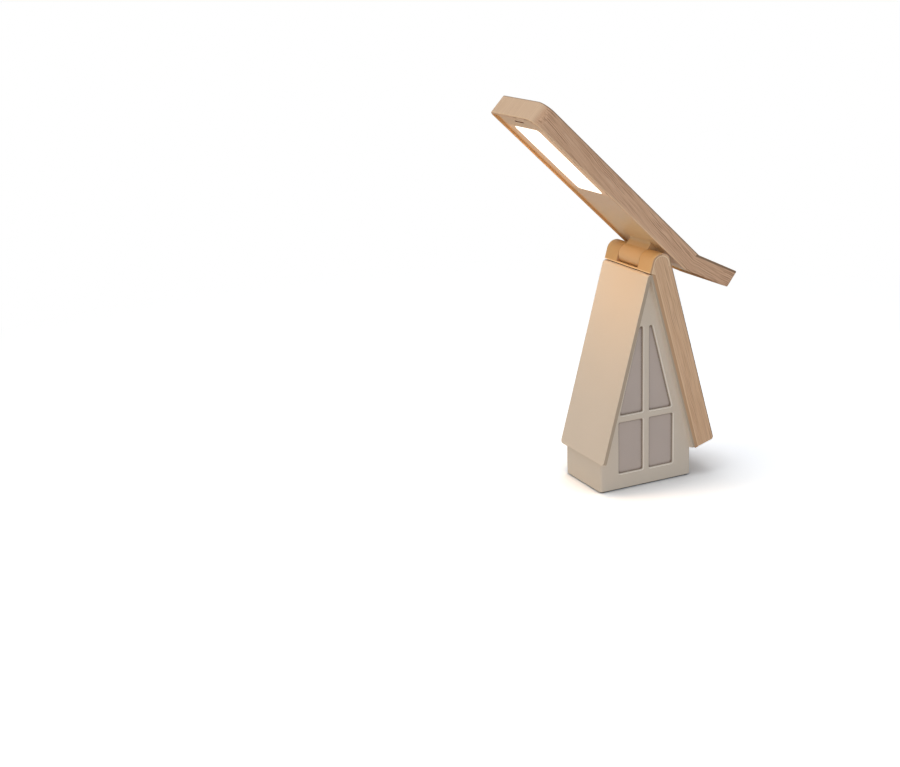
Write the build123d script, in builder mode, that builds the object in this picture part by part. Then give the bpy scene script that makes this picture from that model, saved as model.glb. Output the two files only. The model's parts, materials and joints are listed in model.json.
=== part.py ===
from build123d import *
from math import atan, cos, radians, sin, tan
import os

# House-shaped table lamp: an A-frame house with a hinged reading arm on its ridge.
# Millimetres. Origin at the centre of the base, on the table. X across the gable, Z up.
# The window gable faces -Y.

# House body
base_width = 80.0
base_corner_radius = 2.5
wall = 2.0
apex_height = 170.77
roof_pitch = 74.25
roof_depth = 65.0
gable_overhang = 6.25
panel_thickness = 2.9
seat_thickness = 1.65
eave_length = 153.0
eave_corner_radius = 3.0
shoulder_radius = 2.6
gable_cove_radius = 2.5
edge_radius = 0.6
cover_gap = 0.1

# Pad, base plate and ballast
pad_thickness = 1.0
pad_inset = 1.3
base_plate_thickness = 2.5
ballast_size = (60.0, 34.0)
ballast_thickness = 5.0
boss_radius = 3.5
boss_height = 11.0
boss_wall_overlap = 0.1
boss_cover_gap = 0.1

# Window of four panes in the gable, with drops measured down from the apex
mullion_width = 5.2
pane_half_span = 23.9
pane_bottom = 12.4
transom_width = 5.2
transom_drop = 112.97
upper_pane_half_span = 22.8
upper_pane_drop = 47.37
upper_pane_top_half_span = 5.4
pane_radius = 1.2
pane_edge_radius = 0.9
diffuser_thickness = 1.2
diffuser_margin = 2.6
diffuser_clearance = 0.6

# Slab on the right slope, with the hinge housing at its top
slab_thickness = 16.4
slab_length = 149.1
slab_corner_radius = 2.5
panel_drop = 9.0
skin_thickness = 1.6
cheek_thickness = 1.4
liner_thickness = 2.4
seam = 0.05
skin_start_angle = 85.0
skin_start_gap = 0.5
housing_foot = 8.1
ridge_gap = 0.7
tray_wall = 2.0
tray_top = 20.0
lip_radius = 0.9

# Hinge
knuckle_width = 29.0
knuckle_web = 13.0
knuckle_clearance = 0.4
knuckle_fillet = 2.5
pin_diameter = 5.0
pin_end_gap = 0.1
pin_seat_gap = 0.02
running_fit = 0.05
bush_diameter = 7.0
washer_diameter = 13.0
washer_thickness = 0.3
spring_diameter = 10.0
spring_thickness = 0.5
spring_height = 1.1
spring_recess = 1.3
spring_clearance = 0.2

# Arm
arm_elevation = 43.04
tip_margin = 14.9
arm_thickness = 15.4
closed_gap = 0.4
kink = -17.8
leg_angle = 18.1
leg_thickness = 13.4
leg_length_under = 44.3
leg_length_top = 47.3
kink_radius = 8.0
kink_top_radius = 3.0
tip_corner_radii = (10.5, 4.0)
leg_corner_radius = 3.0
hollow_corner_radius = 1.0
arm_edge_radius = 0.8
arm_rim = 1.5
arm_skin = 2.0
plate_thickness = 1.8
plate_recess = 1.6
plate_groove = 0.45
plate_ledge = 1.0

# Light in the arm
lens_start = 65.0
lens_end = 134.6
lens_width = 35.4
lens_radius = 3.0
lens_gap = 0.1
lens_flange = 1.5
lens_flange_thickness = 1.0
slot_offset = 6.7
slot_length = 13.5
slot_width = 1.2
window_margin = 1.0
window_thickness = 1.0
board_thickness = 1.6
led_board_size = (68.0, 26.0)
led_size = (3.0, 3.0)
led_height = 0.8
led_count = (7, 2)
led_spacing = (9.4, 12.0)

# Rear cover, power button and charging socket
button_height = 58.0
button_diameter = 10.0
button_gap = 0.2
button_proud = 0.8
button_travel = 0.5
button_flange = 1.5
button_flange_thickness = 1.0
button_flange_gap = 0.1
plunger_diameter = 3.2
plunger_gap = 0.15
switch_size = 6.0
switch_height = 2.5
switch_bore_depth = 1.2
socket_height = 20.0
socket_size = (8.94, 3.26)
socket_wall = 0.35
socket_tongue = (6.7, 0.7)
socket_depth = 5.5
socket_gap = 0.2
light_pipe_height = 36.0
light_pipe_diameter = 2.0
light_pipe_gap = 0.05

# Boards and cell
main_board_size = (26.0, 62.0)
main_board_bottom = 12.0
main_board_standoff = 4.75
main_board_screw_inset = 3.0
standoff_radius = 2.4
glow_board_size = (20.0, 54.0)
glow_led_count = (2, 5)
glow_led_spacing = (10.0, 10.5)
cell_diameter = 18.4
cell_length = 65.0
cell_rim = 0.8
cell_cap_diameter = 5.6
cell_cap_height = 0.9
cell_board_gap = 2.7
cell_gap = 0.2
cradle_wall = 1.4
cradle_height = 58.0
cradle_floor = 1.5
cradle_window = (10.0, 34.0)

# Screws: thread diameter, thread length, head diameter, head height
base_screw = (3.0, 8.0, 5.6, 1.4)
slab_screw = (3.0, 7.0, 5.4, 1.8)
board_screw = (2.0, 5.0, 3.6, 1.2)
screw_hole_gap = 0.02
screw_hole_spare = 1.0
screw_head_gap = 0.2
screw_passage_gap = 0.2
slab_screw_rows = (48.0, 122.0)
slab_screw_spread = 18.0
slab_boss_radius = 3.4
slab_boss_height = 6.5

# Places worked out from the sizes above
pitch = radians(roof_pitch)
base_depth = roof_depth - 2 * gable_overhang
transom_top = apex_height - transom_drop
transom_bottom = transom_top - transom_width
upper_pane_top = apex_height - upper_pane_drop
seat_depth = panel_thickness - seat_thickness
head_radius = slab_thickness / 2
seat_level = -head_radius - seat_depth
pivot_x = (panel_drop + head_radius) / (2 * sin(pitch))
pivot_z = apex_height - (panel_drop - head_radius) / (2 * cos(pitch))
front_y = -base_depth / 2
rear_y = base_depth / 2
rear_inner_y = rear_y - wall
half_roof = roof_depth / 2
base_plate_top = pad_thickness + base_plate_thickness
ballast_top = base_plate_top + ballast_thickness
ridge_cut = housing_foot + ridge_gap
ridge_start = ridge_cut + (apex_height - pivot_z) * sin(pitch) - pivot_x * cos(pitch)
boss_x = base_width / 2 - wall - boss_radius + boss_wall_overlap
boss_y = rear_inner_y - boss_radius - boss_cover_gap
boss_places = [(x, y) for x in (-boss_x, boss_x) for y in (-boss_y, boss_y)]
slab_screw_places = [(u, y * slab_screw_spread) for u in slab_screw_rows for y in (-1, 1)]
skin_inner = head_radius - skin_thickness
housing_end_angle = skin_start_angle + skin_start_gap
liner_top = seat_level + liner_thickness
cheek_inner = half_roof - cheek_thickness
pocket_half = knuckle_width / 2 + knuckle_clearance
pocket_radius = head_radius + knuckle_clearance
pocket_edge = knuckle_web / 2 + knuckle_clearance
rim_level = panel_drop + closed_gap
elevation = radians(arm_elevation)
leg = radians(leg_angle)
arm_tip = lens_end + tip_margin
slot_position = lens_end + slot_offset
leg_skew = atan((leg_length_top - leg_length_under) / leg_thickness)
plate_edge = arm_rim + plate_groove
plate_top = plate_recess + plate_thickness
board_y = rear_inner_y - main_board_standoff
board_front_y = board_y - board_thickness
cradle_half = cell_diameter / 2 + cell_gap + cradle_wall
cell_offset = board_front_y - cell_board_gap - cradle_half
glow_board_y = cell_offset - cradle_half
cell_bottom = ballast_top + cradle_floor


def left(u, v):
    # A point of the gable plane, u down the left slope and v out of it, from the hinge axis
    return (pivot_x - u * cos(pitch) - v * sin(pitch), pivot_z - u * sin(pitch) + v * cos(pitch))


def right(u, v):
    # A point of the gable plane, u down the right slope and v out of it, from the hinge axis
    return (pivot_x + u * cos(pitch) + v * sin(pitch), pivot_z - u * sin(pitch) + v * cos(pitch))


def around(radius, angle):
    # A point of the gable plane at a radius and an angle round the hinge axis
    return (pivot_x + radius * cos(radians(angle)), pivot_z + radius * sin(radians(angle)))


def slope(side, along, depth):
    # A point down one roof slope from the apex, depth below the outer roof plane
    x = along * cos(pitch) - depth * sin(pitch)
    return (side * x, apex_height - along * sin(pitch) - depth * cos(pitch))


def roof_z(x, inset):
    # Height of the roof plane, moved inwards by inset, over x
    return apex_height - inset / cos(pitch) - x * tan(pitch)


def roof_x(z, inset):
    # Half the width between the roof planes, moved inwards by inset, at a height
    return (apex_height - inset / cos(pitch) - z) / tan(pitch)


def slab_plane(v):
    # Plane parallel to the right slope, v out from the hinge axis, x down the slope
    origin = (pivot_x + v * sin(pitch), 0, pivot_z + v * cos(pitch))
    return Plane(origin=origin, x_dir=(cos(pitch), 0, -sin(pitch)), z_dir=(sin(pitch), 0, cos(pitch)))


def foot_on_slab(v):
    # Point where the housing's underside meets a line parallel to the right slope
    turn = 2 * pitch
    u = (housing_foot + v * sin(turn)) / -cos(turn)
    return right(u, v)


def arm_plane(y):
    # Plane across the hinge axis at y, x along the arm to its tip, y out of its top
    origin = (pivot_x, y, pivot_z)
    return Plane(origin=origin, x_dir=(-cos(elevation), 0, sin(elevation)), z_dir=(0, 1, 0))


def arm_face(v):
    # Plane parallel to the arm, v above the hinge axis, x along the arm to its tip
    origin = (pivot_x + v * sin(elevation), 0, pivot_z + v * cos(elevation))
    x_dir = (-cos(elevation), 0, sin(elevation))
    return Plane(origin=origin, x_dir=x_dir, z_dir=(sin(elevation), 0, cos(elevation)))


def leg_point(along, height):
    # A point of the arm's side view on its short leg, from the kink of the underside
    u = kink - along * cos(leg) + height * sin(leg)
    v = rim_level + along * sin(leg) + height * cos(leg)
    return (u, v)


def leg_end(height, inset):
    # The end face of the short leg is cut at a slant
    along = leg_length_under + height * tan(leg_skew) - inset / cos(leg_skew)
    return leg_point(along, height)


def under_line(height, inset):
    # Tip, kink and leg end of a line that follows the arm's underside at a height
    tip = (arm_tip - inset, rim_level + height)
    bend = (kink + height * tan(leg / 2), rim_level + height)
    return [tip, bend, leg_end(height, inset)]


def top_line(depth, inset):
    # Leg end, kink and tip of a line that follows the arm's top at a depth
    main = arm_thickness - depth
    short = leg_thickness - depth
    bend = (kink + (short - main * cos(leg)) / sin(leg), rim_level + main)
    return [leg_end(short, inset), bend, (arm_tip - inset, rim_level + main)]


def save(part, name):
    part.label = name
    export_step(part, "parts/" + name + ".step")


os.makedirs("parts", exist_ok=True)

wall_inner_x = base_width / 2 - wall
cavity_points = [
    (-wall_inner_x, pad_thickness),
    (wall_inner_x, pad_thickness),
    (wall_inner_x, roof_z(wall_inner_x, panel_thickness)),
    (0, roof_z(0, panel_thickness)),
    (-wall_inner_x, roof_z(wall_inner_x, panel_thickness)),
]



def roof_panel(side, start, depth, top_radius):
    # One roof panel from its outer face at a depth, with round eave corners and edges
    with BuildPart() as panel:
        with BuildSketch(Plane.XZ):
            with BuildLine():
                Polyline(
                    slope(side, start, depth),
                    slope(side, eave_length, depth),
                    slope(side, eave_length, panel_thickness),
                    slope(side, start, panel_thickness),
                    close=True,
                )
            make_face()
        extrude(amount=half_roof, both=True)
        if top_radius:
            fillet(panel.edges().filter_by(Axis.Y).sort_by(Axis.Z)[-1], top_radius)
        eave = panel.faces().sort_by(Axis.Z)[0]
        fillet(eave.edges().filter_by(Axis.Y, reverse=True), eave_corner_radius)
        outer_face = panel.faces().filter_by(GeomType.PLANE).sort_by(Axis.X)[-side]
        top_edge = outer_face.edges().sort_by(Axis.Z)[-1]
        fillet([e for e in outer_face.edges() if not e.is_same(top_edge)], edge_radius)
    return panel.part


def gable_cove(side):
    # The hollow round between the gable and the underside of one roof panel
    foot_x, foot_z = slope(side, eave_length, panel_thickness)
    up_slope = (-side * cos(pitch), 0, sin(pitch))
    across = Plane(origin=(foot_x, front_y, foot_z), x_dir=(0, -1, 0), z_dir=up_slope)
    with BuildPart() as cove:
        with BuildSketch(across):
            with BuildLine():
                Line((gable_cove_radius, 0), (0, 0))
                Line((0, 0), (0, -side * gable_cove_radius))
                CenterArc(
                    (gable_cove_radius, -side * gable_cove_radius),
                    gable_cove_radius,
                    180,
                    -side * 90,
                )
            make_face()
        extrude(amount=eave_length)
        split(bisect_by=Plane.YZ, keep=Keep.TOP if side > 0 else Keep.BOTTOM)
    return cove.part


# House shell: window gable, side walls and both roof panels in one moulding
with BuildPart() as house_shell:
    with BuildSketch(Plane.XZ):
        with BuildLine():
            Polyline(
                (-base_width / 2, pad_thickness),
                (base_width / 2, pad_thickness),
                (base_width / 2, roof_z(base_width / 2, seat_depth)),
                (0, roof_z(0, seat_depth)),
                (-base_width / 2, roof_z(base_width / 2, seat_depth)),
                close=True,
            )
        make_face()
    extrude(amount=base_depth / 2, both=True)
    fillet(house_shell.edges().filter_by(Axis.Z), base_corner_radius)
    add(roof_panel(-1, ridge_start, 0, shoulder_radius))
    add(roof_panel(1, 0, seat_depth, 0))
    add(gable_cove(-1))
    add(gable_cove(1))
    with BuildSketch(Plane.XZ):
        with BuildLine():
            Polyline(
                left(ridge_cut, 2 * panel_drop),
                left(ridge_cut, -2 * panel_drop),
                left(-2 * panel_drop, -2 * panel_drop),
                left(-2 * panel_drop, 2 * panel_drop),
                close=True,
            )
        make_face()
    extrude(amount=half_roof, both=True, mode=Mode.SUBTRACT)
    with BuildSketch(Plane.XZ.offset(-rear_y)):
        with BuildLine():
            Polyline(*cavity_points, close=True)
        make_face()
    extrude(amount=base_depth - wall, mode=Mode.SUBTRACT)
    with BuildSketch(Plane.XZ.offset(-front_y)) as panes:
        for side in (-1, 1):
            with BuildLine():
                Polyline(
                    (side * mullion_width / 2, pane_bottom),
                    (side * pane_half_span, pane_bottom),
                    (side * pane_half_span, transom_bottom),
                    (side * mullion_width / 2, transom_bottom),
                    close=True,
                )
            make_face()
            with BuildLine():
                Polyline(
                    (side * mullion_width / 2, transom_top),
                    (side * upper_pane_half_span, transom_top),
                    (side * upper_pane_top_half_span, upper_pane_top),
                    (side * mullion_width / 2, upper_pane_top),
                    close=True,
                )
            make_face()
        fillet(panes.vertices(), pane_radius)
    extrude(amount=-wall, mode=Mode.SUBTRACT)
    gable_face = house_shell.faces().filter_by(Axis.Y).filter_by(
        lambda f: abs(f.center().Y - front_y) < seam and len(f.inner_wires()) > 0
    )
    fillet([e for f in gable_face for w in f.inner_wires() for e in w.edges()], pane_edge_radius)
    with BuildSketch(Plane.XY.offset(base_plate_top)):
        with Locations(*boss_places):
            Circle(boss_radius)
    extrude(amount=boss_height)
    with BuildSketch(Plane.XY.offset(base_plate_top)):
        with Locations(*boss_places):
            Circle(base_screw[0] / 2 + screw_hole_gap)
    extrude(amount=base_screw[1] + screw_hole_spare, mode=Mode.SUBTRACT)
    with BuildSketch(slab_plane(seat_level)):
        with Locations(*slab_screw_places):
            Circle(slab_screw[0] / 2 + screw_passage_gap)
    extrude(amount=-seat_thickness, mode=Mode.SUBTRACT)
save(house_shell.part, "house_shell")

# Rear cover: the plain rear gable, set between the walls and roof panels
with BuildPart() as rear_cover:
    with BuildSketch(Plane.XZ.offset(-rear_y)):
        with BuildLine():
            Polyline(*cavity_points, close=True)
        make_face()
        offset(amount=-cover_gap, kind=Kind.INTERSECTION, mode=Mode.REPLACE)
    extrude(amount=wall)
    board_screw_x = main_board_size[0] / 2 - main_board_screw_inset
    board_screw_places = [
        (x, main_board_bottom + z)
        for x in (-board_screw_x, board_screw_x)
        for z in (main_board_screw_inset, main_board_size[1] - main_board_screw_inset)
    ]
    with BuildSketch(Plane.XZ.offset(-rear_inner_y)):
        with Locations(*board_screw_places):
            Circle(standoff_radius)
    extrude(amount=main_board_standoff)
    with BuildSketch(Plane.XZ.offset(-board_y)):
        with Locations(*board_screw_places):
            Circle(board_screw[0] / 2 + screw_hole_gap)
    extrude(amount=-board_screw[1], mode=Mode.SUBTRACT)
    with BuildSketch(Plane.XZ.offset(-rear_y)):
        with Locations((0, button_height)):
            Circle(button_diameter / 2 + button_gap)
        with Locations((0, light_pipe_height)):
            Circle(light_pipe_diameter / 2 + light_pipe_gap)
        with Locations((0, socket_height)):
            RectangleRounded(
                socket_size[0] + 2 * socket_gap,
                socket_size[1] + 2 * socket_gap,
                socket_size[1] / 2,
            )
    extrude(amount=wall, mode=Mode.SUBTRACT)
save(rear_cover.part, "rear_cover")

# Diffuser sheet behind the four panes
with BuildPart() as window_diffuser:
    with BuildSketch(Plane.XZ.offset(-front_y - wall)):
        half = pane_half_span + diffuser_margin
        top = upper_pane_top + diffuser_margin * 2
        with BuildLine():
            Polyline(
                (-half, pane_bottom - diffuser_margin),
                (half, pane_bottom - diffuser_margin),
                (half, roof_z(half + diffuser_clearance, panel_thickness)),
                (roof_x(top, panel_thickness) - diffuser_clearance, top),
                (-roof_x(top, panel_thickness) + diffuser_clearance, top),
                (-half, roof_z(half + diffuser_clearance, panel_thickness)),
                close=True,
            )
        make_face()
    extrude(amount=-diffuser_thickness)
save(window_diffuser.part, "window_diffuser")

# Base plate, held by four screws from below
with BuildPart() as base_plate:
    with BuildSketch(Plane.XY.offset(pad_thickness)):
        Rectangle(2 * (wall_inner_x - cover_gap), 2 * (rear_inner_y - cover_gap))
    extrude(amount=base_plate_thickness)
    with BuildSketch(Plane.XY.offset(pad_thickness)):
        with Locations(*boss_places):
            Circle(base_screw[2] / 2 + screw_head_gap)
    extrude(amount=base_screw[3], mode=Mode.SUBTRACT)
    with BuildSketch(Plane.XY.offset(pad_thickness)):
        with Locations(*boss_places):
            Circle(base_screw[0] / 2 + screw_passage_gap)
    extrude(amount=base_plate_thickness, mode=Mode.SUBTRACT)
save(base_plate.part, "base_plate")

# Rubber pad that the lamp stands on
with BuildPart() as base_pad:
    with BuildSketch(Plane.XY):
        RectangleRounded(
            base_width - 2 * pad_inset,
            base_depth - 2 * pad_inset,
            base_corner_radius - pad_inset,
        )
    extrude(amount=pad_thickness)
save(base_pad.part, "base_pad")

# Steel ballast plate on the base plate
with BuildPart() as ballast_plate:
    with BuildSketch(Plane.XY.offset(base_plate_top)):
        Rectangle(*ballast_size)
    extrude(amount=ballast_thickness)
    fillet(ballast_plate.edges().filter_by(Axis.Z), wall)
save(ballast_plate.part, "ballast_plate")

# Base screws
with BuildPart() as base_screws:
    with BuildSketch(Plane.XY.offset(pad_thickness)):
        with Locations(*boss_places):
            Circle(base_screw[2] / 2)
    extrude(amount=base_screw[3])
    with BuildSketch(Plane.XY.offset(pad_thickness + base_screw[3])):
        with Locations(*boss_places):
            Circle(base_screw[0] / 2)
    extrude(amount=base_screw[1])
save(base_screws.part, "base_screws")

# Battery cradle, standing on the ballast plate
with BuildPart() as battery_cradle:
    outer = 2 * cradle_half
    with BuildSketch(Plane.XY.offset(ballast_top)):
        with Locations((0, cell_offset)):
            RectangleRounded(outer, outer, cradle_wall)
    extrude(amount=cradle_height)
    with BuildSketch(Plane.XY.offset(cell_bottom)):
        with Locations((0, cell_offset)):
            Circle(cell_diameter / 2 + cell_gap)
    extrude(amount=cradle_height, mode=Mode.SUBTRACT)
    with BuildSketch(Plane.YZ):
        with Locations((cell_offset, ballast_top + cradle_height / 2)):
            RectangleRounded(*cradle_window, cradle_wall)
    extrude(amount=outer, both=True, mode=Mode.SUBTRACT)
save(battery_cradle.part, "battery_cradle")

# Rechargeable cell
with BuildPart() as battery_cell:
    with BuildSketch(Plane.XY.offset(cell_bottom)):
        with Locations((0, cell_offset)):
            Circle(cell_diameter / 2)
    extrude(amount=cell_length)
    chamfer(battery_cell.edges().filter_by(GeomType.CIRCLE), cell_rim)
    with BuildSketch(Plane.XY.offset(cell_bottom + cell_length)):
        with Locations((0, cell_offset)):
            Circle(cell_cap_diameter / 2)
    extrude(amount=cell_cap_height)
save(battery_cell.part, "battery_cell")

# Main board on the rear cover's standoffs
with BuildPart() as main_board:
    with BuildSketch(Plane.XZ.offset(-board_y)):
        with Locations((0, main_board_bottom + main_board_size[1] / 2)):
            Rectangle(*main_board_size)
        with Locations(*board_screw_places):
            Circle(board_screw[0] / 2 + screw_passage_gap, mode=Mode.SUBTRACT)
    extrude(amount=board_thickness)
save(main_board.part, "main_board")

with BuildPart() as board_screws:
    with BuildSketch(Plane.XZ.offset(-board_front_y)):
        with Locations(*board_screw_places):
            Circle(board_screw[2] / 2)
    extrude(amount=board_screw[3])
    with BuildSketch(Plane.XZ.offset(-board_front_y)):
        with Locations(*board_screw_places):
            Circle(board_screw[0] / 2)
    extrude(amount=-board_screw[1])
save(board_screws.part, "board_screws")

# Charging socket, upright on the main board and open to the rear
with BuildPart() as charging_socket:
    with BuildSketch(Plane.XZ.offset(-board_y)):
        with Locations((0, socket_height)):
            RectangleRounded(*socket_size, socket_size[1] / 2 - socket_wall)
    extrude(amount=board_y - rear_y)
    with BuildSketch(Plane.XZ.offset(-rear_y)):
        with Locations((0, socket_height)):
            RectangleRounded(
                socket_size[0] - 2 * socket_wall,
                socket_size[1] - 2 * socket_wall,
                socket_size[1] / 2 - 2 * socket_wall,
            )
            Rectangle(*socket_tongue, mode=Mode.SUBTRACT)
    extrude(amount=socket_depth, mode=Mode.SUBTRACT)
save(charging_socket.part, "charging_socket")

# Push switch on the main board, with a bore for its plunger
with BuildPart() as push_switch:
    with BuildSketch(Plane.XZ.offset(-board_y)):
        with Locations((0, button_height)):
            Rectangle(switch_size, switch_size)
    extrude(amount=-switch_height)
    with BuildSketch(Plane.XZ.offset(-board_y - switch_height)):
        with Locations((0, button_height)):
            Circle(plunger_diameter / 2 + plunger_gap)
    extrude(amount=switch_bore_depth, mode=Mode.SUBTRACT)
save(push_switch.part, "push_switch")

# Power button in the rear cover, kept in by its flange
flange_y = rear_inner_y - button_flange_gap
plunger_start_y = flange_y - button_flange_thickness
with BuildPart() as power_button:
    with BuildSketch(Plane.XZ.offset(-plunger_start_y)):
        with Locations((0, button_height)):
            Circle(button_diameter / 2 + button_flange)
    extrude(amount=-button_flange_thickness)
    with BuildSketch(Plane.XZ.offset(-flange_y)):
        with Locations((0, button_height)):
            Circle(button_diameter / 2)
    extrude(amount=flange_y - rear_y - button_proud)
    chamfer(power_button.edges().sort_by(Axis.Y)[-1], button_proud / 2)
save(power_button.part, "power_button")

switch_bore_floor_y = board_y + switch_height - switch_bore_depth
with BuildPart() as switch_plunger:
    with BuildSketch(Plane.XZ.offset(-plunger_start_y)):
        with Locations((0, button_height)):
            Circle(plunger_diameter / 2)
    extrude(amount=plunger_start_y - switch_bore_floor_y - button_travel - plunger_gap)
save(switch_plunger.part, "switch_plunger")

# Light pipe for the charge light
with BuildPart() as charge_light_pipe:
    with BuildSketch(Plane.XZ.offset(-board_y)):
        with Locations((0, light_pipe_height)):
            Circle(light_pipe_diameter / 2)
    extrude(amount=board_y - rear_y)
save(charge_light_pipe.part, "charge_light_pipe")

# Night-light board on the front of the cradle
glow_board_bottom = ballast_top
glow_middle = glow_board_bottom + glow_board_size[1] / 2
with BuildPart() as glow_board:
    with BuildSketch(Plane.XZ.offset(-glow_board_y)):
        with Locations((0, glow_middle)):
            Rectangle(*glow_board_size)
    extrude(amount=board_thickness)
save(glow_board.part, "glow_board")

with BuildPart() as glow_leds:
    with BuildSketch(Plane.XZ.offset(-glow_board_y + board_thickness)):
        with Locations((0, glow_middle)):
            with GridLocations(*glow_led_spacing, *glow_led_count):
                Rectangle(*led_size)
    extrude(amount=led_height)
save(glow_leds.part, "glow_leds")

# Room in the housing for the knuckle and its web, over the whole swing
with BuildPart() as knuckle_room:
    with BuildSketch(Plane.XZ):
        with BuildLine():
            Polyline(
                left(pocket_edge, 0),
                left(pocket_edge, 2 * head_radius),
                left(-2 * head_radius, 2 * head_radius),
                right(-2 * head_radius, 2 * head_radius),
                right(pocket_edge, 2 * head_radius),
                right(pocket_edge, 0),
                close=True,
            )
        make_face()
        with Locations((pivot_x, pivot_z)):
            Circle(pocket_radius)
    extrude(amount=pocket_half, both=True)

# Wood-look skin of the slab: outer face, end wall and two cheeks
with BuildPart() as slab_shell:
    with BuildSketch(Plane.XZ):
        with BuildLine():
            RadiusArc(around(head_radius, skin_start_angle), right(0, head_radius), head_radius)
            Line(right(0, head_radius), right(slab_length, head_radius))
            Line(right(slab_length, head_radius), right(slab_length, liner_top + seam))
            Line(right(slab_length, liner_top + seam), foot_on_slab(liner_top + seam))
            Line(foot_on_slab(liner_top + seam), left(housing_foot, skin_inner))
            Line(left(housing_foot, skin_inner), left(0, skin_inner))
            RadiusArc(left(0, skin_inner), around(skin_inner, skin_start_angle), skin_inner)
            Line(around(skin_inner, skin_start_angle), around(head_radius, skin_start_angle))
        make_face()
    extrude(amount=half_roof, both=True)
    slab_corner = slab_shell.edges().filter_by(Axis.Y).sort_by(Axis.X)[-1]
    fillet(slab_corner, slab_corner_radius)
    with BuildSketch(Plane.XZ):
        with BuildLine():
            Line(right(slab_length - skin_thickness, skin_inner), right(0, skin_inner))
            RadiusArc(right(0, skin_inner), around(skin_inner, skin_start_angle), -skin_inner)
            RadiusArc(around(skin_inner, skin_start_angle), left(0, skin_inner), -skin_inner)
            Line(left(0, skin_inner), left(head_radius + panel_drop, skin_inner))
            Line(left(head_radius + panel_drop, skin_inner), right(slab_length - skin_thickness, -panel_drop))
            Line(
                right(slab_length - skin_thickness, -panel_drop),
                right(slab_length - skin_thickness, skin_inner),
            )
        make_face()
    extrude(amount=cheek_inner, both=True, mode=Mode.SUBTRACT)
    add(knuckle_room.part, mode=Mode.SUBTRACT)
    end_edges = slab_shell.edges().filter_by(GeomType.LINE).filter_by(
        lambda e: abs(e.center().Y) > half_roof - seam
    )
    fillet(end_edges.sort_by(SortBy.LENGTH)[-2:], edge_radius)
save(slab_shell.part, "slab_shell")

# Slab core: hinge housing, tray and the liner that lies on the roof panel
with BuildPart() as slab_core:
    with BuildSketch(Plane.XZ):
        with BuildLine():
            Line(foot_on_slab(seat_level), left(housing_foot, head_radius))
            Line(left(housing_foot, head_radius), left(0, head_radius))
            RadiusArc(left(0, head_radius), around(head_radius, housing_end_angle), head_radius)
            Line(
                around(head_radius, housing_end_angle),
                around(skin_inner - seam, housing_end_angle),
            )
            RadiusArc(
                around(skin_inner - seam, housing_end_angle),
                right(0, skin_inner - seam),
                skin_inner - seam,
            )
            Line(
                right(0, skin_inner - seam),
                right(slab_length - skin_thickness - seam, skin_inner - seam),
            )
            Line(
                right(slab_length - skin_thickness - seam, skin_inner - seam),
                right(slab_length - skin_thickness - seam, seat_level),
            )
            Line(
                right(slab_length - skin_thickness - seam, seat_level),
                foot_on_slab(seat_level),
            )
        make_face()
    extrude(amount=cheek_inner - seam, both=True)
    with BuildSketch(slab_plane(skin_inner)):
        with Locations(((tray_top + slab_length - skin_thickness - seam - tray_wall) / 2, 0)):
            Rectangle(
                slab_length - skin_thickness - seam - tray_wall - tray_top,
                2 * (cheek_inner - seam - tray_wall),
            )
    extrude(amount=liner_top - skin_inner + seam, mode=Mode.SUBTRACT)
    with BuildSketch(slab_plane(liner_top)):
        with Locations(*slab_screw_places):
            Circle(slab_boss_radius)
    extrude(amount=slab_boss_height)
    with BuildSketch(Plane.XZ):
        with BuildLine():
            Polyline(
                foot_on_slab(seat_level),
                foot_on_slab(liner_top),
                right(slab_length, liner_top),
                right(slab_length, seat_level),
                close=True,
            )
        make_face()
    extrude(amount=half_roof, both=True)
    with BuildSketch(Plane.XZ):
        with BuildLine():
            Line(left(housing_foot, head_radius), left(0, head_radius))
            RadiusArc(left(0, head_radius), around(head_radius, housing_end_angle), head_radius)
            Line(
                around(head_radius, housing_end_angle),
                around(skin_inner + seam, housing_end_angle),
            )
            RadiusArc(
                around(skin_inner + seam, housing_end_angle),
                left(0, skin_inner + seam),
                -skin_inner - seam,
            )
            Line(left(0, skin_inner + seam), left(housing_foot, skin_inner + seam))
            Line(left(housing_foot, skin_inner + seam), left(housing_foot, head_radius))
        make_face()
    extrude(amount=half_roof, both=True)
    lip_arcs = slab_core.edges().filter_by(GeomType.CIRCLE).filter_by(
        lambda e: abs(e.center().Y) > half_roof - seam and abs(e.radius - head_radius) < seam
    )
    fillet(lip_arcs, lip_radius)
    with BuildSketch(slab_plane(seat_level)):
        with Locations(*slab_screw_places):
            Circle(slab_screw[0] / 2 + screw_hole_gap)
    extrude(amount=slab_screw[1] - seat_thickness + screw_hole_spare, mode=Mode.SUBTRACT)
    add(knuckle_room.part, mode=Mode.SUBTRACT)
    with BuildSketch(Plane.XZ):
        with Locations((pivot_x, pivot_z)):
            Circle(pin_diameter / 2 + pin_seat_gap)
    extrude(amount=half_roof, both=True, mode=Mode.SUBTRACT)
save(slab_core.part, "slab_core")

# Screws through the right roof panel into the slab core
with BuildPart() as slab_screws:
    with BuildSketch(slab_plane(seat_level - seat_thickness)):
        with Locations(*slab_screw_places):
            Circle(slab_screw[2] / 2)
    extrude(amount=-slab_screw[3])
    with BuildSketch(slab_plane(seat_level - seat_thickness)):
        with Locations(*slab_screw_places):
            Circle(slab_screw[0] / 2)
    extrude(amount=slab_screw[1])
save(slab_screws.part, "slab_screws")

# Hinge pin through both ears of the housing
with BuildPart() as hinge_pin:
    with BuildSketch(Plane.XZ):
        with Locations((pivot_x, pivot_z)):
            Circle(pin_diameter / 2)
    extrude(amount=cheek_inner - pin_end_gap, both=True)
save(hinge_pin.part, "hinge_pin")

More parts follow.
